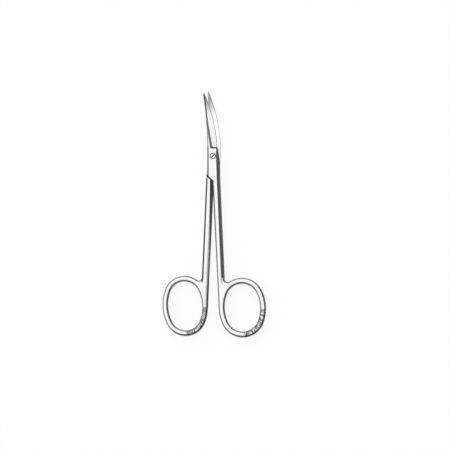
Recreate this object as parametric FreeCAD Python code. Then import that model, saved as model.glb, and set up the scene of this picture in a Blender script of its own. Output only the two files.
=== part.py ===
import FreeCAD
import Part

import math
import os

# Curved dissecting scissors, lying flat and a little open, in millimetres.
# The origin is on the pivot's axis at the resting plane, +Z is up and +Y runs towards the points.
# Each half is drawn in a frame of its own: lap face down, ring and shank on the +X side, blade crossing
# over to the left. The lower half is the same construction turned over about the Y axis.

# Thickness and fits
thickness = 3.2            # joint, shanks and rings
mating_gap = 0.03          # between the two lap faces
closing_angle = 3.5        # degrees from rest until the points have crossed
side_clearance = 0.1       # between facing sides once closed
edge_round = 1.2           # rounding of shank, ring and joint edges
most_rounding = 0.45       # largest share of a wall that such a rounding takes

# Finger rings: where the hole's centre lies from the pivot, the hole's four-arc oval, and the rim
upper_ring_across = 13.74
upper_ring_down = 70.6
upper_hole_width = 16.4
upper_hole_length = 22.2
upper_end_share = 0.457    # radius of the oval's ends as a share of its width
upper_ring_wall = 2.85
upper_ring_lean = 2.7      # degrees that the top of the oval leans to the left, in the half's own frame
lower_ring_across = 12.9
lower_ring_down = 69.8
lower_hole_width = 15.8
lower_hole_length = 22.7
lower_end_share = 0.443
lower_ring_wall = 2.7
lower_ring_lean = -3.5

# Shanks
upper_inner_x = -0.30      # inner edge at the joint's foot, from where it runs tangent to the ring
lower_inner_x = -0.60
shank_width_joint = 3.7
shank_width_ring = 3.48
ring_fillet = 1.4          # concave corner between the shank's outer side and the ring
lap_slope = 32.0           # degrees that the thinned facing edge falls away from the lap plane
relief_slope = 78.0        # degrees from flat of the relieved wall beside the lap
facet_slope = 33.0         # degrees from flat of the facet ground along the outer side
facet_width_heel = 0.85
facet_width_foot = 1.65
facet_width_ring = 1.55
facet_run_out = 2.0        # length over which the facet ends in the corner at the ring

# Joint plate
shoulder_y = -9.1          # where the diagonal shoulder starts, at the joint's left side
shoulder_angle = 43.0      # degrees that the shoulder falls to the right
joint_foot_y = -9.8        # where the joint's outer side runs into the shank
upper_joint_bulge = 0.32   # how far that side bows out between heel and foot
lower_joint_bulge = -0.2
heel_y = 3.6               # end of the joint plate, where the ground blade starts
upper_heel_x = 2.4
lower_heel_x = 2.25
upper_joint_left = 2.62    # half width at the shoulder's upper end
lower_joint_left = 2.9

# Blades
spine_start_y = 2.5        # where the spine starts to curve
upper_spine_x = 2.65
lower_spine_x = 3.6
upper_edge_x = 2.22
lower_edge_x = 2.0
upper_tip_x = -4.2         # tips in each half's own frame
upper_tip_y = 29.15
lower_tip_x = 2.1
lower_tip_y = 29.8
tip_half_width = 0.33
tip_length = 0.32
tip_thickness = 0.95       # of one blade at its point
spine_round_root = 1.1
spine_round_tip = 0.3
spine_chamfer = 0.22       # broken corner between spine and lap face
ridge_width = 1.3          # plain strip beside the spine where the hollow starts
ridge_end_y = 20.0         # where that strip runs out on the spine
hollow_wall_angle = 36.0   # degrees from flat
step_wall_angle = 63.0
hollow_corner = 0.9
ground_edge_height = 0.3   # height of the ground face above the lap face at the cutting edge
ground_slope = 10.0        # degrees that the ground face rises away from the edge
bevel_width = 0.24
bevel_height = 0.16
edge_land = 0.05           # thickness left at the cutting edge

# Pivot screw
screw_head_diameter = 2.7
screw_shank_diameter = 1.7
countersink_depth = 0.55
screw_running_clearance = 0.04
screw_rim_bevel = 0.25
slot_width = 0.45
slot_depth = 0.35
slot_angle = 51.0
screw_end_recess = 0.06

# Reach of the cutting tools past the metal
past = 6.0
far = 60.0

mid_plane = thickness / 2
lap_z = mid_plane + mating_gap / 2


def vec(x, y, z=0.0):
    return FreeCAD.Vector(x, y, z)


def turned(angle):
    """Unit vector at an angle in degrees from +X."""
    return vec(math.cos(math.radians(angle)), math.sin(math.radians(angle)))


def line(a, b):
    return Part.LineSegment(a, b).toShape()


def arc(centre, radius, start, end):
    """Arc between two angles in degrees, passing the angle halfway."""
    points = [centre + turned(a) * radius for a in (start, (start + end) / 2, end)]
    return Part.Arc(*points).toShape()


def tangent_arc(start, end):
    """Arc that leaves start parallel to Y and passes through end."""
    across = end.x - start.x
    along = end.y - start.y
    radius = (across**2 + along**2) / (2 * across)
    half = math.asin(along / radius) / 2
    middle = vec(start.x + radius * (1 - math.cos(half)), start.y + radius * math.sin(half))
    return Part.Arc(start, middle, end).toShape()


def prism(points, z_low, z_high):
    """Upright prism over a plan outline of straight sides."""
    wire = Part.makePolygon([vec(p.x, p.y, z_low) for p in points + points[:1]])
    return Part.Face(wire).extrude(vec(0, 0, z_high - z_low))


class Oval:
    """Finger hole made of four tangent arcs, with any rim around it."""

    def __init__(self, centre, width, length, end_share, lean):
        self.centre = centre
        self.lean = lean
        self.end_radius = end_share * width
        self.end_offset = length / 2 - self.end_radius
        half = width / 2
        across = half**2 + self.end_offset**2 - self.end_radius**2
        self.side_radius = across / (2 * (half - self.end_radius))
        self.side_offset = self.side_radius - half
        self.meet = math.degrees(math.atan2(self.end_offset, self.side_offset))

    def end_centre(self, sign):
        return self.centre + turned(90 + self.lean) * (sign * self.end_offset)

    def side_centre(self, sign):
        """Centre of the arc on the +X side for sign 1, which lies on the other side of the oval."""
        return self.centre - turned(self.lean) * (sign * self.side_offset)

    def wire(self, rim=0.0):
        lean, meet = self.lean, self.meet
        side = self.side_radius + rim
        end = self.end_radius + rim
        return Part.Wire([
            arc(self.side_centre(1), side, lean - meet, lean + meet),
            arc(self.end_centre(1), end, lean + meet, lean + 180 - meet),
            arc(self.side_centre(-1), side, lean + 180 - meet, lean + 180 + meet),
            arc(self.end_centre(-1), end, lean + 180 + meet, lean + 360 - meet),
        ])


class Half:
    """Sizes and derived points of one half, in its own frame."""

    def __init__(self, oval, rim, inner_x, heel_x, joint_bulge, joint_left, spine_x, edge_x, tip):
        self.oval = oval
        self.rim = rim
        self.shank_lean = self.lean_to_ring(vec(inner_x, joint_foot_y))
        self.heel = vec(heel_x, heel_y)
        self.joint_bulge = joint_bulge
        self.shoulder_start = vec(-joint_left, shoulder_y)
        self.spine_reach = spine_x
        self.spine_start = vec(-spine_x, spine_start_y)
        self.edge_x = edge_x
        self.tip = tip
        self.ring_touch = oval.side_centre(-1) + turned(180 + self.shank_lean) * (oval.side_radius + rim)
        reach = edge_x - self.edge_end.x
        self.edge_radius = (reach**2 + self.edge_end.y**2) / (2 * reach)

    def lean_to_ring(self, start):
        """Degrees from the Y axis of the line from start that touches the rim's left side arc."""
        away = start - self.oval.side_centre(-1)
        reach = (self.oval.side_radius + self.rim) / away.Length
        return math.degrees(math.atan2(away.y, away.x) - math.acos(-reach))

    @property
    def spine_end(self):
        return self.tip + vec(-tip_half_width, -tip_length)

    @property
    def edge_end(self):
        return self.tip + vec(tip_half_width, -tip_length)

    @property
    def edge_centre(self):
        """Centre of the cutting edge's arc."""
        return vec(self.edge_x - self.edge_radius, 0)

    @property
    def foot(self):
        """Where the joint's outer side runs into the shank's."""
        return vec(self.outer_x(joint_foot_y), joint_foot_y)

    @property
    def bow(self):
        """Middle point of the joint's outer side."""
        return (self.foot + self.heel) * 0.5 + vec(self.joint_bulge, 0)

    def inner_x(self, y):
        return self.ring_touch.x - (y - self.ring_touch.y) * math.tan(math.radians(self.shank_lean))

    def outer_x(self, y):
        share = (joint_foot_y - y) / (joint_foot_y - self.ring_touch.y)
        return self.inner_x(y) + shank_width_joint + share * (shank_width_ring - shank_width_joint)

    def edge_at(self, y):
        """Point of the cutting edge at a height y."""
        rise = math.sqrt(self.edge_radius**2 - y**2)
        return vec(self.edge_centre.x + math.copysign(rise, self.edge_radius), y)

    def spine_at(self, y):
        across = self.spine_end.x - self.spine_start.x
        along = self.spine_end.y - self.spine_start.y
        radius = (across**2 + along**2) / (2 * across)
        rise = math.sqrt(radius**2 - (y - self.spine_start.y) ** 2)
        return vec(self.spine_start.x + radius - math.copysign(rise, radius), y)

    def shoulder_end(self):
        """Where the diagonal meets the shank's inner edge."""
        fall = math.tan(math.radians(shoulder_angle))
        lean = math.tan(math.radians(self.shank_lean))
        gap = self.inner_x(self.shoulder_start.y) - self.shoulder_start.x
        across = gap / (1 - fall * lean)
        return self.shoulder_start + vec(across, -across * fall)


def ring_corner(half):
    """Fillet circle in the corner between the shank's outer side and the rim: centre and both angles."""
    down = (vec(half.outer_x(-far), -far) - half.foot).normalize()
    outward = vec(-down.y, down.x)
    start = half.foot + outward * ring_fillet
    end_centre = half.oval.end_centre(1)
    reach = half.oval.end_radius + half.rim + ring_fillet
    to_end = end_centre - start
    along = to_end.dot(down)
    off = to_end.dot(outward)
    centre = start + down * (along - math.sqrt(reach**2 - off**2))
    on_ring = math.degrees(math.atan2(end_centre.y - centre.y, end_centre.x - centre.x))
    on_shank = math.degrees(math.atan2(-outward.y, -outward.x)) % 360 - 360
    return centre, on_ring, on_shank


def grip_outline(half):
    """Plan of ring, shank and the joint plate's outer part, up to the heel."""
    oval, rim = half.oval, half.rim
    lean, meet = oval.lean, oval.meet
    side, end = oval.side_radius + rim, oval.end_radius + rim
    corner, on_ring, on_shank = ring_corner(half)
    shank_foot = corner + turned(on_shank) * ring_fillet
    inner_top = vec(half.inner_x(heel_y), heel_y)
    edges = [
        line(inner_top, half.ring_touch),
        arc(oval.side_centre(-1), side, 180 + half.shank_lean, lean + 180 + meet),
        arc(oval.end_centre(-1), end, lean + 180 + meet, lean + 360 - meet),
        arc(oval.side_centre(1), side, lean - meet, lean + meet),
        arc(oval.end_centre(1), end, lean + meet, on_ring + 180),
        arc(corner, ring_fillet, on_ring, on_shank),
        line(shank_foot, half.foot),
        Part.Arc(half.foot, half.bow, half.heel).toShape(),
        line(half.heel, inner_top),
    ]
    return Part.Wire(edges)


def blade_outline(half):
    """Plan of the blade and the joint plate, with room at the left, where the spine's own outline rules."""
    end = half.shoulder_end()
    fall = math.tan(math.radians(shoulder_angle))
    seam_x = end.x + edge_round
    left = min(-half.spine_reach, half.spine_end.x) - past
    edge_start = half.edge_at(heel_y)
    edge_middle = half.edge_at((heel_y + half.edge_end.y) / 2)
    beside_tip = vec(left, half.spine_end.y)
    diagonal_far = vec(left, end.y + (end.x - left) * fall)
    edges = [
        line(vec(seam_x, heel_y), edge_start),
        Part.Arc(edge_start, edge_middle, half.edge_end).toShape(),
        Part.Arc(half.edge_end, half.tip, half.spine_end).toShape(),
        line(half.spine_end, beside_tip),
        line(beside_tip, diagonal_far),
        line(diagonal_far, end),
        line(end, vec(seam_x, end.y)),
        line(vec(seam_x, end.y), vec(seam_x, heel_y)),
    ]
    return Part.Wire(edges)


def spine_slab(half):
    """Wide slab with the spine and the joint plate's left side as its one curved, rounded side."""
    below = half.shoulder_start + (half.shoulder_start - half.spine_start).normalize() * past
    beyond = half.spine_at(half.tip.y + past / 2)
    right = max(half.heel.x, half.tip.x) + past
    edges = [
        line(below, half.shoulder_start),
        tangent_arc(half.spine_start, half.shoulder_start),
        tangent_arc(half.spine_start, beyond),
        line(beyond, vec(right, beyond.y)),
        line(vec(right, beyond.y), vec(right, below.y)),
        line(vec(right, below.y), below),
    ]
    slab = Part.Face(Part.Wire(edges)).extrude(vec(0, 0, thickness)).cut(taper(half))

    def along_spine(edge):
        at = middle(edge)
        return at.z > lap_z and at.y > heel_y and abs(at.x - half.spine_at(at.y).x) < edge_land

    spine = [edge for edge in slab.Edges if along_spine(edge)]
    return slab.makeFillet(spine_round_root, spine_round_tip, spine)


def taper(half):
    """What is ground off above the blade, so that it thins evenly from the joint plate to its point."""
    drop = thickness - lap_z - tip_thickness
    length = half.tip.y - heel_y
    radius = (length**2 + drop**2) / (2 * drop)
    centre = vec(0, heel_y, thickness - radius)

    def on_arc(y, x=-far):
        return vec(x, y, centre.z + math.sqrt(radius**2 - (y - heel_y) ** 2))

    end_y = half.tip.y + past
    curve = Part.Arc(on_arc(heel_y), on_arc((heel_y + end_y) / 2), on_arc(end_y)).toShape()
    above = thickness + past
    corners = [on_arc(end_y), vec(-far, end_y, above), vec(-far, heel_y, above), on_arc(heel_y)]
    sides = [line(a, b) for a, b in zip(corners, corners[1:])]
    return Part.Face(Part.Wire([curve] + sides)).extrude(vec(2 * far, 0, 0))


def middle(edge):
    return edge.valueAt((edge.FirstParameter + edge.LastParameter) / 2)


def grip(half):
    """Ring and shank with rounded edges, the shank carried up to the heel."""
    blank = Part.Face(grip_outline(half)).extrude(vec(0, 0, thickness))
    blank = blank.cut(Part.Face(half.oval.wire()).extrude(vec(0, 0, thickness)))
    long_edges = [
        edge for edge in blank.Edges
        if min(abs(middle(edge).z), abs(middle(edge).z - thickness)) < 1e-6 and middle(edge).y < heel_y - 1e-3
    ]
    return blank.makeFillet(min(edge_round, most_rounding * min(thickness, half.rim)), long_edges)


def blade(half):
    """Blade and joint plate in one, ending at the diagonal shoulder."""
    return spine_slab(half).common(Part.Face(blade_outline(half)).extrude(vec(0, 0, thickness)))


def corner_cut(before, corner, after, radius):
    """Tangent points and middle of a rounded corner between two straight sides."""
    back = (before - corner).normalize()
    on = (after - corner).normalize()
    half_angle = math.acos(back.dot(on)) / 2
    setback = radius / math.tan(half_angle)
    bisector = (back + on).normalize()
    mid = corner + bisector * (radius / math.sin(half_angle) - radius)
    return corner + back * setback, mid, corner + on * setback


def hollow_wire(half, level):
    """Outline of the hollow at a level: 1 at the blade's top face, 0 below the lap face."""
    root = half.spine_at(heel_y) + vec(ridge_width, 0)
    run_out = half.spine_at(ridge_end_y)
    slope = (run_out.x - root.x) / (run_out.y - root.y)
    end_y = half.tip.y + past
    length = half.tip.y - heel_y
    fall = (thickness - lap_z - tip_thickness) / length
    floor_z = lap_z - 0.2

    def on_wall(y, step):
        top_z = thickness - fall * (y - heel_y)
        depth = (1 - level) * (top_z - floor_z)
        run = depth / math.tan(math.radians(hollow_wall_angle))
        return vec(root.x + slope * (y - heel_y) + run, y + step, top_z - depth)

    step = (1 - level) * (thickness - floor_z) / math.tan(math.radians(step_wall_angle))
    near = on_wall(heel_y, step)
    end = on_wall(end_y, 0)
    right = max(half.heel.x, half.tip.x) + past
    far_near = vec(right, near.y, near.z)
    far_end = vec(right, end.y, end.z)
    first, mid, last = corner_cut(end, near, far_near, hollow_corner)
    return Part.Wire([
        Part.Arc(first, mid, last).toShape(),
        line(last, far_near), line(far_near, far_end), line(far_end, end), line(end, first),
    ])


def ring_around_edge(half, profile):
    """Turns a profile of (distance into the blade, height) about the centre of the cutting edge's arc."""
    sign = math.copysign(1, half.edge_radius)
    rim = abs(half.edge_radius)
    centre = half.edge_centre
    points = [vec(centre.x + sign * (rim - sign * inward), centre.y, z) for inward, z in profile]
    face = Part.Face(Part.makePolygon(points + points[:1]))
    start = math.degrees(math.asin(heel_y / rim))
    end = math.degrees(math.asin((half.tip.y + past) / rim))
    face.rotate(centre, vec(0, 0, 1), sign * start)
    return face.revolve(centre, vec(0, 0, 1), sign * (end - start))


def hollow(half):
    """The hollow ground into the blade's outer face: a sloped wall, a square step and a conical floor."""
    low, high = hollow_wire(half, 0), hollow_wire(half, 1)
    pocket = Part.makeLoft([low, high], True, True)
    lid = Part.Face(high).extrude(vec(0, 0, past))
    rise = math.tan(math.radians(ground_slope))
    edge_z = lap_z + ground_edge_height
    width = 2 * past
    above = ring_around_edge(half, [
        (-past, edge_z - past * rise), (width, edge_z + width * rise),
        (width, thickness + 2 * past), (-past, thickness + 2 * past),
    ])
    return pocket.fuse(lid).common(above)


def edge_bevel(half):
    """The narrow bevel that sharpens the cutting edge."""
    low = lap_z + edge_land
    rise = bevel_height / bevel_width
    return ring_around_edge(half, [
        (-past, low - past * rise), (bevel_width, low + bevel_height),
        (bevel_width, thickness + past), (-past, thickness + past),
    ])


def relief_x(half, other, y):
    """How far left the half may reach below the lap plane, so that the closed shanks still clear."""
    return -math.radians(closing_angle) * y + side_clearance - other.inner_x(y)


def shoulder_line(other):
    """Start and direction of the wall facing the other half's diagonal, with the closing travel left."""
    fall = math.radians(shoulder_angle)
    travel = math.radians(closing_angle) * abs(other.shoulder_end().y) * math.sin(fall)
    normal = vec(math.sin(fall), -math.cos(fall))
    start = vec(-other.shoulder_start.x, other.shoulder_start.y) + normal * (travel + side_clearance)
    return start, vec(-math.cos(fall), -math.sin(fall))


def lap_cut(half, other):
    """What is taken away below the lap plane, over the blade, the joint and beside the shank."""
    start, along = shoulder_line(other)
    foot_y = half.shoulder_end().y
    slope = relief_x(half, other, foot_y) - relief_x(half, other, foot_y - 1)
    # where the shoulder wall meets the relieved side
    gap = start.x - relief_x(half, other, start.y)
    share = gap / (slope * along.y - along.x)
    inner = start + along * share
    outer = start - along * far
    plate = prism([
        outer, vec(far, far), vec(-far, far), vec(-far, foot_y),
        vec(relief_x(half, other, foot_y), foot_y), inner,
    ], -past, lap_z)
    return plate.fuse(facing_cut(half, other, foot_y))


def facing_cut(half, other, top_y):
    """Long wedge that thins the shank's facing side to half, running out before the ring."""
    closing_x = relief_x(half, other, top_y) - half.inner_x(top_y)
    rate = closing_x - (relief_x(half, other, top_y - 1) - half.inner_x(top_y - 1))
    foot_y = top_y - (closing_x + side_clearance) / rate
    lap_rise = math.tan(math.radians(lap_slope))
    wall_run = 1 / math.tan(math.radians(relief_slope))

    def section(y):
        corner_x = relief_x(half, other, y)
        left = half.inner_x(y) - past
        low = lap_z + past
        points = [
            vec(corner_x, y, lap_z), vec(left, y, lap_z + (corner_x - left) * lap_rise),
            vec(left, y, -past), vec(corner_x + low * wall_run, y, -past),
        ]
        return Part.makePolygon(points + points[:1])

    return Part.makeLoft([section(top_y), section(foot_y)], True, True)


def side_facet(half):
    """What is ground off the outer side's upper edge, from the heel down to the ring."""
    corner, _, on_shank = ring_corner(half)
    corner_y = (corner + turned(on_shank) * ring_fillet).y
    start_y = corner_y + facet_run_out / 2
    end_y = corner_y - facet_run_out / 2
    drop = math.tan(math.radians(facet_slope))

    def section(side_x, y, width):
        left, right = side_x - width, side_x + ring_fillet
        points = [
            vec(left, y, thickness), vec(right, y, thickness - (right - left) * drop),
            vec(right, y, thickness + past), vec(left, y, thickness + past),
        ]
        return Part.makePolygon(points + points[:1])

    sections = [
        section(half.heel.x, half.heel.y + ring_fillet, facet_width_heel),
        section(half.foot.x, half.foot.y, facet_width_foot),
        section(half.outer_x(start_y), start_y, facet_width_ring),
        section(half.outer_x(end_y), end_y, edge_land),
    ]
    return Part.makeLoft(sections, True, True)


def broken_spine(half, body):
    """Takes the sharp corner off between spine and lap face."""
    def on_spine(edge):
        at = middle(edge)
        return abs(at.z - lap_z) < edge_land and at.y > spine_start_y and \
            abs(at.x - half.spine_at(at.y).x) < edge_land

    return body.makeChamfer(spine_chamfer, [edge for edge in body.Edges if on_spine(edge)])


def make_half(half, other):
    body = grip(half).fuse(blade(half))
    for tool in (side_facet(half), lap_cut(half, other), hollow(half), edge_bevel(half)):
        body = body.cut(tool)
    return broken_spine(half, body)


def revolved(profile):
    """Solid turned about the pivot's axis from points of (radius, height)."""
    points = [vec(radius, 0, z) for radius, z in profile]
    return Part.Face(Part.makePolygon(points + points[:1])).revolve(vec(0, 0), vec(0, 0, 1), 360)


def clearance_hole():
    """Countersunk hole that turns round the screw."""
    shank = screw_shank_diameter / 2 + screw_running_clearance
    head = screw_head_diameter / 2 + screw_running_clearance
    return revolved([
        (0, 0), (shank, 0), (shank, thickness - countersink_depth),
        (head, thickness - screw_rim_bevel), (head, thickness), (0, thickness),
    ])


def make_screw():
    """Countersunk screw, flush with the joint plate above and just below flush underneath."""
    shank = screw_shank_diameter / 2
    head = screw_head_diameter / 2
    screw = revolved([
        (0, screw_end_recess), (shank, screw_end_recess), (shank, thickness - countersink_depth),
        (head, thickness - screw_rim_bevel), (head - screw_rim_bevel, thickness), (0, thickness),
    ])
    slot = Part.makeBox(2 * past, slot_width, slot_depth + past, vec(-past, -slot_width / 2, thickness - slot_depth))
    slot.rotate(vec(0, 0), vec(0, 0, 1), slot_angle)
    return screw.cut(slot)


def turned_over(shape):
    flipped = shape.copy()
    flipped.rotate(vec(0, 0, mid_plane), vec(0, 1, 0), 180)
    return flipped


def single(shape):
    """The one solid in a result, healed of split faces."""
    return shape.removeSplitter().Solids[0]


upper = Half(
    Oval(vec(upper_ring_across, -upper_ring_down), upper_hole_width, upper_hole_length,
         upper_end_share, upper_ring_lean),
    upper_ring_wall, upper_inner_x, upper_heel_x, upper_joint_bulge, upper_joint_left, upper_spine_x,
    upper_edge_x, vec(upper_tip_x, upper_tip_y),
)
lower = Half(
    Oval(vec(lower_ring_across, -lower_ring_down), lower_hole_width, lower_hole_length,
         lower_end_share, lower_ring_lean),
    lower_ring_wall, lower_inner_x, lower_heel_x, lower_joint_bulge, lower_joint_left, lower_spine_x,
    lower_edge_x, vec(lower_tip_x, lower_tip_y),
)

threaded_hole = Part.makeCylinder(screw_shank_diameter / 2, thickness)

nodes = {
    "upper_half": single(make_half(upper, lower).cut(clearance_hole())),
    "lower_half": single(turned_over(make_half(lower, upper)).cut(threaded_hole)),
    "pivot_screw": single(make_screw()),
}

os.makedirs("parts", exist_ok=True)
for name, shape in nodes.items():
    shape.exportStep(f"parts/{name}.step")
    print(name, shape.isValid(), round(shape.Volume, 2), shape.BoundBox)
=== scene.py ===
import math

import bmesh
import bpy
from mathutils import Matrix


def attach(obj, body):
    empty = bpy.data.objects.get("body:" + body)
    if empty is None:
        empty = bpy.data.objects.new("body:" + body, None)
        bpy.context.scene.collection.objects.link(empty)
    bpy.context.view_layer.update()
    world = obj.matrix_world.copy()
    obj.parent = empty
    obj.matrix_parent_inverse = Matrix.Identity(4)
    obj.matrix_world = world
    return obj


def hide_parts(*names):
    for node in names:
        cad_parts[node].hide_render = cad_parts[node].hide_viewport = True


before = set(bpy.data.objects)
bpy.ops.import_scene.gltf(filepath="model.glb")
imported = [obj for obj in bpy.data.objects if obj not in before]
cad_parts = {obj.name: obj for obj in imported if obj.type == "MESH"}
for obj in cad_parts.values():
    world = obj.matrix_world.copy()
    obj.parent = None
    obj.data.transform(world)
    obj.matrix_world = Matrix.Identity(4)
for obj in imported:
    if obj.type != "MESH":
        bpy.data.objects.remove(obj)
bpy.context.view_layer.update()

MM = 0.001
DIAGONAL = 0.707


def mm(*lengths):
    """Lengths in millimetres, as metres."""
    return [length * MM for length in lengths]


# Photograph: 450 pixels across are 209.9 mm, seen from straight above
PHOTO_WIDTH = 209.9 * MM
PHOTO_CENTRE = mm(5.64, -32.1)
LENS = 200
SENSOR = 36

# Studio
LAMP = (-0.455, 0.455, 0.766)    # middle of the bright cap
LAMP_CAP = (0.47, 0.58)          # its soft edge, as a cosine
LAMP_LEVEL = 1.36
HORIZON = (0.27, 0.37)
HORIZON_LEVEL = 0.7
DIM_LEVEL = 0.26
TABLE_REACH = 3.0
TABLE_Z = -0.02 * MM
TABLE_COLOUR = (0.95, 0.95, 0.95, 1)
TABLE_GLOW = 0.985
TABLE_SHARE = 0.9                # how much of the glow shows to the camera and in the steel
WHITE = (1, 1, 1, 1)

# Places on the scissors
LAP_Z = 1.6 * MM
SCREW_RADIUS = 1.35 * MM
SLOT_ANGLE = math.radians(51)
UPPER_RING = mm(13.74, -70.6)
LOWER_RING = mm(-12.9, -69.8)
SHOULDER_POINT = mm(-2.4, -9.4)
SHOULDER_NORMAL = (math.sin(math.radians(43)), math.cos(math.radians(43)))
FACING_EDGE = (1.062 * MM, 0.04716)      # lower half, towards the other shank: x at y = 0, and slope
OUTER_EDGE = (-2.678 * MM, 0.0431)       # lower half, away from it
FACET_BORDER = (1.67 * MM, -0.0407)      # upper half, between flat and facet
CUTTING_EDGE_X = 2.22 * MM               # upper half's cutting edge at rest: x at y = 0, and bow
CUTTING_EDGE_BOW = 6.09 / 28.8 ** 2 / MM

# Steel
STEEL_GREY = 0.59
STEEL_ROUGHNESS = 0.17
STEEL_RELIEF = 0.0016 * MM
COOL = 1.012                     # blue against red and green
LENGTHWISE = (5200, 420, 5200)   # grain, per metre
CROSSWISE = (500, 7000, 7000)
CROSS_TURN = math.radians(-22)
CLOUD = (230, 230, 230)
SPECK = (2600, 2600, 2600)
SCRATCHES = 3500
HATCH_ROUND, HATCH_OUT, HATCH_UP = 15, 260, 300
HATCH_SHIFT = 900                # makes the two rings' painted hatch differ
SHADED_SPREAD = 0.72               # how far to each side of the diagonal a ring takes painted shade, as a cosine

# How much of the steel's grey each finish and each painted shade takes away
SATIN_EDGE_SHADE_LOSS = 0.58
FACING_SHADE_LOSS = 0.4
HATCH_SHADE_LOSS = 0.8
MATT_SHADE_LOSS = 0.3
GROUND_SHADE_LOSS = 0.8
STEP_SHADE_LOSS = 0.8
SIDE_SHADE_LOSS = 0.5
GAP_SHADE_LOSS = 0.86
SCREW_GAP_SHADE_LOSS = 0.75
SLOT_SHADE_LOSS = 0.88

# Where finishes fade in, from the first value to the second, and out, from the third to the fourth
FLAT = (0.8, 0.97)               # by how upright the surface's normal is
BLADE_Y = mm(3.6, 4.4)
TIP_SHADE_Y = mm(17, 27)
RING_Y = mm(-62, -57)
SHADED_STRETCH = mm(-0.6, 1.0)
HATCH_FLAT = (0.4, 0.8)
HATCH_MARKS = (0.36, 0.58)
SHADED_FACING = (0.02, 0.25)
MATT_X, MATT_Y, MATT_Z = mm(-1.56, -1.5), mm(-76, -62, -11.6, -11.2), mm(1.0, 1.2)
GROUND_X, GROUND_Y, GROUND_Z = mm(-0.4, -0.2, 0.70, 0.76), mm(-59.5, -58, -11.0, -10.2), mm(2.0, 2.1)
RUBBED_X, RUBBED_Y, RUBBED_Z = mm(-0.3, -0.1), mm(-10.6, -10.5), mm(0.04, 0.08)
STEP_X, STEP_Y = mm(-1.2, -1.0), mm(3.4, 3.45, 4.2, 4.26)
SIDE_X, SIDE_Y = mm(-1.84, -1.76), mm(-10, -9, 3, 6)
BORDER_X, BORDER_Y = mm(-0.3, -0.25, 2.0, 2.1), mm(-60, -58, 2, 3)
BORDER_DARKEST = mm(0, 0.1)
SHOULDER_X = mm(-3.2, -2.9)
SHOULDER_FADE = 0.4 * MM
SHOULDER_Z = mm(0.3, 0.6)
LOWER_SHOULDER = mm(0.35, 0.4, 1.2)      # half width of the painted shade, its fade, and x where it ends
UPPER_SHOULDER = mm(0.32, 0.08, -0.1)
ON_TOP = [LAP_Z, LAP_Z + 0.2 * MM]
SCREW_GAP = [SCREW_RADIUS + off for off in mm(-0.05, 0, 0.04, 0.22)]

# Screw
TURNED_GREY = 0.5
TURNED_ROUGHNESS = 0.26
TURNED_CLOUD = (900, 900, 900)
TURNED_PITCH = 0.12 * MM
TURNED_RELIEF = 0.001 * MM
SLOT_SIDE = mm(0.22, 0.26)
SLOT_DEPTH = mm(3.0, 3.16)
SCREW_RIM = [SCREW_RADIUS + off for off in mm(-0.3, -0.1)]

# Smooth copies
MERGE = 0.0005 * MM
SHARP = math.radians(22)


class Signal:
    """A shader value that Python's operators work on."""

    def __init__(self, finish, socket):
        self.finish = finish
        self.socket = socket

    def math(self, operation, *others):
        return self.finish.node("ShaderNodeMath", {"operation": operation}, [self, *others])

    def __add__(self, other):
        return self.math("ADD", other)

    __radd__ = __add__

    def __sub__(self, other):
        return self.math("SUBTRACT", other)

    def __rsub__(self, other):
        return self.finish.node("ShaderNodeMath", {"operation": "SUBTRACT"}, [other, self])

    def __mul__(self, other):
        return self.math("MULTIPLY", other)

    __rmul__ = __mul__

    def above(self, start, end):
        """0 up to start and 1 from end on, smooth between."""
        return self.finish.node("ShaderNodeMapRange", {"interpolation_type": "SMOOTHSTEP"}, {
            "Value": self, "From Min": start, "From Max": end,
        }, output="Result")

    def below(self, start, end):
        """1 up to start and 0 from end on."""
        return 1 - self.above(start, end)

    def within(self, start, full, fade, end):
        """0 outside start and end, 1 between full and fade."""
        return self.above(start, full) * self.below(fade, end)


class Finish:
    """The nodes of one material or of the world."""

    def __init__(self, owner):
        owner.use_nodes = True
        self.tree = owner.node_tree
        self.tree.nodes.clear()

    def node(self, kind, settings, inputs=(), output=0):
        """Adds a node with its settings first, then its inputs by place or by name."""
        made = self.tree.nodes.new(kind)
        for name, value in settings.items():
            setattr(made, name, value)
        pairs = inputs.items() if isinstance(inputs, dict) else enumerate(inputs)
        for key, value in pairs:
            if isinstance(value, Signal):
                self.tree.links.new(value.socket, made.inputs[key])
            else:
                made.inputs[key].default_value = value
        return Signal(self, made.outputs[output]) if made.outputs else None

    def place(self):
        """Object coordinates: the scissors' own frame, in metres."""
        return self.node("ShaderNodeTexCoord", {}, output="Object")

    def axes(self, place):
        """X, Y and Z of a vector."""
        split = self.node("ShaderNodeSeparateXYZ", {}, [place])
        return [Signal(self, socket) for socket in split.socket.node.outputs]

    def grain(self, place, scale, turn=0.0, detail=3.0):
        """Noise drawn out by a scale per axis, after a turn about Z."""
        turned = self.node("ShaderNodeMapping", {"vector_type": "TEXTURE"}, {
            "Vector": place, "Rotation": (0, 0, turn),
        })
        drawn = self.node("ShaderNodeMapping", {}, {"Vector": turned, "Scale": scale})
        return self.node("ShaderNodeTexNoise", {}, {"Vector": drawn, "Scale": 1.0, "Detail": detail})

    def marks(self, *places):
        """Noise over three values, such as a turn and a distance."""
        joined = self.node("ShaderNodeCombineXYZ", {}, places)
        return self.node("ShaderNodeTexNoise", {}, {"Vector": joined, "Scale": 1.0, "Detail": 2.0})

    def metal(self, grey, rough, relief, depth):
        """Bare steel of a grey, a roughness and a height pattern."""
        bump = self.node("ShaderNodeBump", {}, {"Strength": 1.0, "Distance": depth, "Height": relief})
        tint = self.node("ShaderNodeCombineColor", {}, [grey, grey, grey * COOL])
        shader = self.node("ShaderNodeBsdfPrincipled", {}, {
            "Base Color": tint, "Metallic": 1.0, "Roughness": rough, "Normal": bump,
        })
        self.node("ShaderNodeOutputMaterial", {}, {"Surface": shader})


def from_centre(x, y):
    """Distance from the centre that x and y are counted from."""
    return (x * x + y * y).math("SQRT")


def right_of(edge, x, y):
    """How far a place lies to the right of a straight edge."""
    at, slope = edge
    return x - slope * y - at


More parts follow.
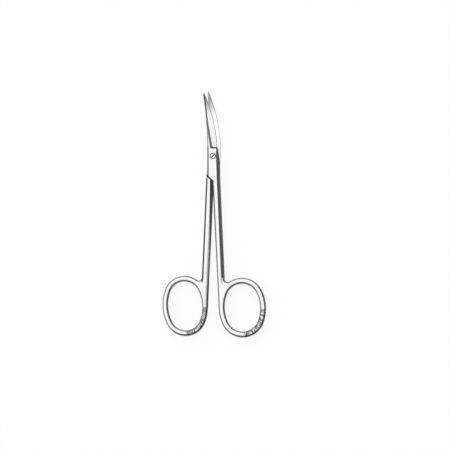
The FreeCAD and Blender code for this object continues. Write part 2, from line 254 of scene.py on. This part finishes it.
def ring_painted_shade(finish, x, y, z, normal, upright, ring_centre):
    """Painted shade, also rougher, on a ring's faces towards the lower right, and painted hatch marks
    across its rim there.
    """
    out_x, out_y = x - ring_centre[0], y - ring_centre[1]
    reach = from_centre(out_x, out_y)
    turn = out_y.math("ARCTAN2", out_x)
    stretch = ((out_x - out_y) * DIAGONAL - SHADED_SPREAD * reach).above(*SHADED_STRETCH)
    # painted hatch shade across the rim, as noise over turn, reach and height
    marks = finish.marks(turn * HATCH_ROUND + ring_centre[0] * HATCH_SHIFT, reach * HATCH_OUT, z * HATCH_UP)
    hatch_shade = HATCH_SHADE_LOSS * stretch * upright.above(*HATCH_FLAT) * marks.above(*HATCH_MARKS)
    # painted shade on faces whose normal points to the lower right
    facing = ((normal[0] - normal[1]) * DIAGONAL).above(*SHADED_FACING)
    return y.below(*RING_Y) * (FACING_SHADE_LOSS * facing).math("MAXIMUM", hatch_shade)


def lower_finish(finish, x, y, z, grey, rough):
    """Lower half: matt side towards the other shank and ground outer edge, both with painted shade; lap
    face rubbed in rings.
    """
    # the side towards the other shank is rougher and painted darker as shade
    matt = z.above(*MATT_Z) * right_of(FACING_EDGE, x, y).above(*MATT_X) * y.within(*MATT_Y)
    # the outer edge is ground rougher and painted darker as shade
    ground_and_shade = z.above(*GROUND_Z) * right_of(OUTER_EDGE, x, y).within(*GROUND_X) * y.within(*GROUND_Y)
    scratches = finish.marks(from_centre(x, y) * SCRATCHES, 0.0, 0.0)
    edge_x = CUTTING_EDGE_X - CUTTING_EDGE_BOW * y * y
    on_lap = (z - LAP_Z).math("ABSOLUTE").below(*RUBBED_Z)
    rubbed = (x - edge_x).below(*RUBBED_X) * y.above(*RUBBED_Y) * on_lap
    grey = grey * (1 - MATT_SHADE_LOSS * matt) * (1 - GROUND_SHADE_LOSS * ground_and_shade)
    grey = grey * (1 - (0.15 + 0.3 * scratches) * rubbed)
    return grey, rough + 0.2 * matt.math("MAXIMUM", ground_and_shade)


def upper_finish(x, y, on_top, grey):
    """Upper half: painted shade on the arm of the hollow's step, on the joint plate's left side and along
    the facet's border.
    """
    # painted shade along the arm of the hollow's step
    step_shade = x.above(*STEP_X) * y.within(*STEP_Y) * on_top
    # painted shade on the joint plate's left side
    side_shade = x.below(*SIDE_X) * y.within(*SIDE_Y) * on_top
    # painted shade along the facet's border
    past = right_of(FACET_BORDER, x, y)
    border_shade = past.within(*BORDER_X) * (0.3 + 0.4 * past.below(*BORDER_DARKEST))
    border_shade = border_shade * y.within(*BORDER_Y) * on_top
    return grey * (1 - STEP_SHADE_LOSS * step_shade) * (1 - SIDE_SHADE_LOSS * side_shade) * (1 - border_shade)


def shoulder_shade(x, y, level, width, fade, end_x):
    """Painted shade in the narrow gap at the diagonal shoulder, up to end_x."""
    off = (x - SHOULDER_POINT[0]) * SHOULDER_NORMAL[0] + (y - SHOULDER_POINT[1]) * SHOULDER_NORMAL[1]
    near = off.math("ABSOLUTE").below(width, width + fade)
    return near * level * x.within(*SHOULDER_X, end_x, end_x + SHOULDER_FADE)


def half_steel(name, lap_up, ring_centre):
    """Polished steel with fine lines along shank and ring and cross grinding on the blade."""
    material = bpy.data.materials.new(name)
    finish = Finish(material)
    place = finish.place()
    x, y, z = finish.axes(place)
    normal = finish.axes(finish.node("ShaderNodeTexCoord", {}, output="Normal"))
    upright = normal[2].math("ABSOLUTE")
    along = finish.grain(place, LENGTHWISE)
    across = finish.grain(place, CROSSWISE, turn=CROSS_TURN)
    cloud = finish.grain(place, CLOUD, detail=2.0)
    speck = finish.grain(place, SPECK, detail=1.0)
    on_blade = y.above(*BLADE_Y)
    lines = along + on_blade * (across - along)
    grey = STEEL_GREY + 0.08 * (lines - 0.5) + 0.05 * (cloud - 0.5) + on_blade * 0.08
    rough = STEEL_ROUGHNESS + 0.16 * (lines - 0.5) + 0.12 * (cloud - 0.5) + 0.06 * speck + on_blade * 0.05

    # the last millimetres at the point take painted shade, streaked across
    tip_shade = y.above(*TIP_SHADE_Y) * (0.45 + 0.9 * (across - 0.3))
    # flats are polished bright, rounded edges and walls are left satin, with painted shade darkening their
    # grey
    satin_and_edge_shade = upright.below(*FLAT)
    # painted shade and painted hatch on each ring's side towards the lower right
    ring_shade = ring_painted_shade(finish, x, y, z, normal, upright, ring_centre)
    grey = grey * (1 - tip_shade) * (1 - SATIN_EDGE_SHADE_LOSS * satin_and_edge_shade) * (1 - ring_shade)
    rough = rough + 0.06 * satin_and_edge_shade + 0.12 * ring_shade

    if lap_up:
        grey, rough = lower_finish(finish, x, y, z, grey, rough)
        at_lap = (z - LAP_Z).math("ABSOLUTE").below(*SHOULDER_Z)
        # painted shade in the shoulder gap, on the lap face
        gap_shade = shoulder_shade(x, y, at_lap, *LOWER_SHOULDER)
    else:
        on_top = z.above(*ON_TOP)
        grey = upper_finish(x, y, on_top, grey)
        # painted shade at the shoulder, along the upper half's top edge
        gap_shade = shoulder_shade(x, y, on_top, *UPPER_SHOULDER)
    # painted shade in the ring of gap round the screw head
    screw_gap_shade = from_centre(x, y).within(*SCREW_GAP)
    grey = grey * (1 - GAP_SHADE_LOSS * gap_shade) * (1 - SCREW_GAP_SHADE_LOSS * screw_gap_shade)
    finish.metal(grey, rough + 0.3 * gap_shade, lines, STEEL_RELIEF)
    return material


def screw_steel():
    """Turned screw: fine rings round the axis, painted shade in the slot and along the rim."""
    material = bpy.data.materials.new("screw_steel")
    finish = Finish(material)
    place = finish.place()
    x, y, z = finish.axes(place)
    reach = from_centre(x, y)
    rings = (reach * (2 * math.pi / TURNED_PITCH)).math("SINE")
    cloud = finish.grain(place, TURNED_CLOUD, detail=2.0)
    beside_slot = (y * math.cos(SLOT_ANGLE) - x * math.sin(SLOT_ANGLE)).math("ABSOLUTE")
    slot = beside_slot.below(*SLOT_SIDE) * z.below(*SLOT_DEPTH)
    # painted shade in the slot and along the rim, which is also rougher
    shade = slot.math("MAXIMUM", reach.above(*SCREW_RIM) * 0.8)
    grey = (TURNED_GREY + 0.05 * rings + 0.1 * (cloud - 0.5)) * (1 - SLOT_SHADE_LOSS * shade)
    finish.metal(grey, TURNED_ROUGHNESS + 0.2 * (cloud - 0.5) + 0.25 * shade, rings, TURNED_RELIEF)
    return material


def dome():
    """Soft studio dome: bright overhead and to the upper left, dim towards the lower right."""
    world = bpy.data.worlds.new("studio_dome")
    bpy.context.scene.world = world
    finish = Finish(world)
    direction = finish.node("ShaderNodeTexCoord", {}, output="Generated")
    lamp = [part / math.hypot(*LAMP) for part in LAMP]
    towards = {"operation": "DOT_PRODUCT"}
    facing = finish.node("ShaderNodeVectorMath", towards, [direction, lamp], output="Value")
    height = finish.axes(direction)[2]
    level = DIM_LEVEL + HORIZON_LEVEL * height.below(*HORIZON) + LAMP_LEVEL * facing.above(*LAMP_CAP)
    shader = finish.node("ShaderNodeBackground", {}, {"Color": WHITE, "Strength": level})
    finish.node("ShaderNodeOutputWorld", {}, {"Surface": shader})


def table():
    """White table top, which also shows white to the camera and in the steel."""
    mesh = bpy.data.meshes.new("table")
    shape = bmesh.new()
    bmesh.ops.create_grid(shape, x_segments=1, y_segments=1, size=TABLE_REACH)
    bmesh.ops.translate(shape, verts=shape.verts, vec=(0, 0, TABLE_Z))
    shape.to_mesh(mesh)
    shape.free()
    top = bpy.data.objects.new("table", mesh)
    bpy.context.scene.collection.objects.link(top)
    material = bpy.data.materials.new("white_table")
    finish = Finish(material)
    camera, glossy, through = [
        finish.node("ShaderNodeLightPath", {}, output=ray)
        for ray in ("Is Camera Ray", "Is Glossy Ray", "Is Transmission Ray")
    ]
    seen = camera.math("MAXIMUM", glossy).math("MAXIMUM", through)
    matt = finish.node("ShaderNodeBsdfDiffuse", {}, {"Color": TABLE_COLOUR})
    glow = finish.node("ShaderNodeEmission", {}, {"Color": WHITE, "Strength": TABLE_GLOW})
    shader = finish.node("ShaderNodeMixShader", {}, [seen * TABLE_SHARE, matt, glow])
    finish.node("ShaderNodeOutputMaterial", {}, {"Surface": shader})
    mesh.materials.append(material)


def photo_camera():
    """Camera straight above, with the photograph's framing."""
    data = bpy.data.cameras.new("photo_camera")
    data.lens = LENS
    data.sensor_width = SENSOR
    camera = bpy.data.objects.new("photo_camera", data)
    camera.location = (*PHOTO_CENTRE, PHOTO_WIDTH * LENS / SENSOR)
    bpy.context.scene.collection.objects.link(camera)
    bpy.context.scene.camera = camera


def smooth_copy(node, body, material):
    """A copy of a CAD node with its corners joined and shaded smooth, which stands for it."""
    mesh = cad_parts[node].data.copy()
    shape = bmesh.new()
    shape.from_mesh(mesh)
    bmesh.ops.remove_doubles(shape, verts=shape.verts, dist=MERGE)
    bmesh.ops.dissolve_degenerate(shape, edges=shape.edges, dist=MERGE)
    for face in shape.faces:
        face.smooth = True
    for edge in shape.edges:
        edge.smooth = len(edge.link_faces) == 2 and edge.calc_face_angle() < SHARP
    shape.to_mesh(mesh)
    shape.free()
    mesh.materials.clear()
    mesh.materials.append(material)
    piece = bpy.data.objects.new("smooth_" + node, mesh)
    bpy.context.scene.collection.objects.link(piece)
    weighting = piece.modifiers.new("face_weights", "WEIGHTED_NORMAL")
    weighting.keep_sharp = True
    weighting.mode = "FACE_AREA"
    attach(piece, body)
    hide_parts(node)


bpy.context.scene.view_settings.view_transform = "Standard"

photo_camera()
dome()
table()

smooth_copy("upper_half", "upper", half_steel("upper_steel", False, UPPER_RING))
smooth_copy("lower_half", "lower", half_steel("lower_steel", True, LOWER_RING))
smooth_copy("pivot_screw", "lower", screw_steel())
